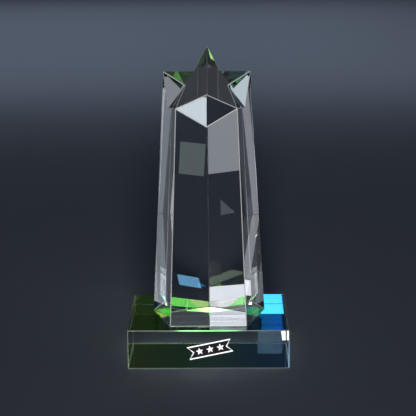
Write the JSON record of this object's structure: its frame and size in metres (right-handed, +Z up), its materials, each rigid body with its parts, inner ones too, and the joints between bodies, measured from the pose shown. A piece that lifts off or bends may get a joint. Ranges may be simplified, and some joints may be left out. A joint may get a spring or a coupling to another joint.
{
  "type": "crystal star award",
  "caption": "Free-standing clear crystal award: a tapered column with a slanted star-cut top, bonded to a rectangular crystal base with an iridescent underside.",
  "frame": {"origin": "centre of the underside, on the surface that the award stands on", "axes": "+Z up along the column's axis, -Y the front with the printed emblem and the lower end of the star, +X to the viewer's right"},
  "size_m": [0.101, 0.0701, 0.1953],
  "materials": {
    "column_crystal": "polished optical crystal",
    "clear_adhesive": "clear cured adhesive",
    "base_crystal": "polished optical crystal",
    "iridescent_film": "thin interference coating, green to blue",
    "white_ink": "printed ink",
    "black_ink": "printed ink"
  },
  "bodies": {
    "root": {"crystal_column": "column_crystal", "adhesive_layer": "clear_adhesive", "crystal_base": "base_crystal", "iridescent_film": "iridescent_film", "emblem_white_ink": "white_ink", "emblem_black_ink": "black_ink"}
  },
  "joints": []
}
